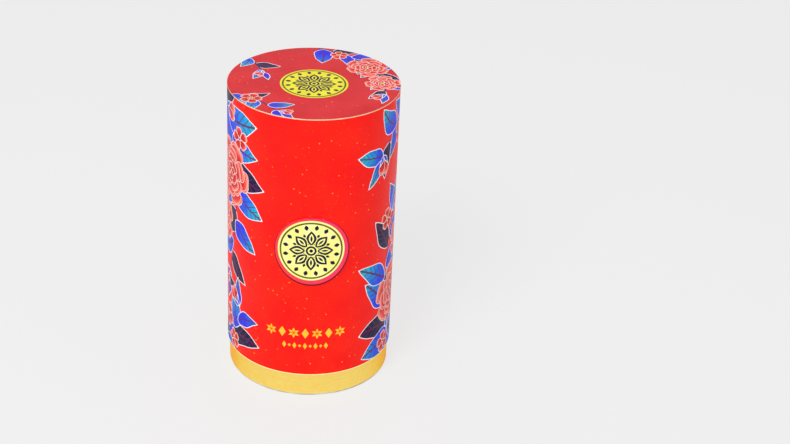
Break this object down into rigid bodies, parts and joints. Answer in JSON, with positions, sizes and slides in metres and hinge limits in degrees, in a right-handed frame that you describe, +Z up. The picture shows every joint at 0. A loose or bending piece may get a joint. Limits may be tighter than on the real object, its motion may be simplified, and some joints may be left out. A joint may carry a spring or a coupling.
{
  "type": "cylindrical gift tube box",
  "caption": "Tall round paper-board gift tube with a full-depth printed lift-off lid, raised gold foil seal and a gold base tube.",
  "frame": {"origin": "on the table plane, at the middle of the base tube's foot", "axes": "+Z up along the tube's axis, which the lid lifts along; the front seal faces -Y"},
  "size_m": [0.096, 0.0972, 0.177],
  "materials": {
    "wound_board": "solid spirally wound board, uncoated",
    "white_board": "solid wound board with white plies, cut end slightly worn",
    "greyboard": "solid greyboard, uncoated",
    "printed_paper": "satin laminated red print with a floral design and fine gold flecks",
    "printed_card": "satin laminated red print with a floral design, cream cut edge",
    "white_lining": "matt white paper",
    "gold_paper": "satin metallised gold paper",
    "gold_foil": "bright gold foil paper with dark printed rings",
    "magenta_board": "magenta faced board"
  },
  "bodies": {
    "base": {"base_tube": "white_board", "base_wrap": "gold_paper", "base_lining": "white_lining", "base_bottom_board": "greyboard", "base_bottom_lining": "white_lining", "base_bottom_card": "gold_paper"},
    "lid": {"lid_tube": "wound_board", "lid_wrap": "printed_paper", "lid_lining": "white_lining", "lid_top_board": "greyboard", "lid_top_lining": "white_lining", "lid_top_card": "printed_card", "top_seal_foil": "gold_foil", "front_seal_board": "magenta_board", "front_seal_foil": "gold_foil"}
  },
  "joints": [
    {"name": "lid_lift", "type": "slide", "parent": "base", "child": "lid", "axis": [0, 0, 1], "range_m": [0, 0.17]}
  ]
}
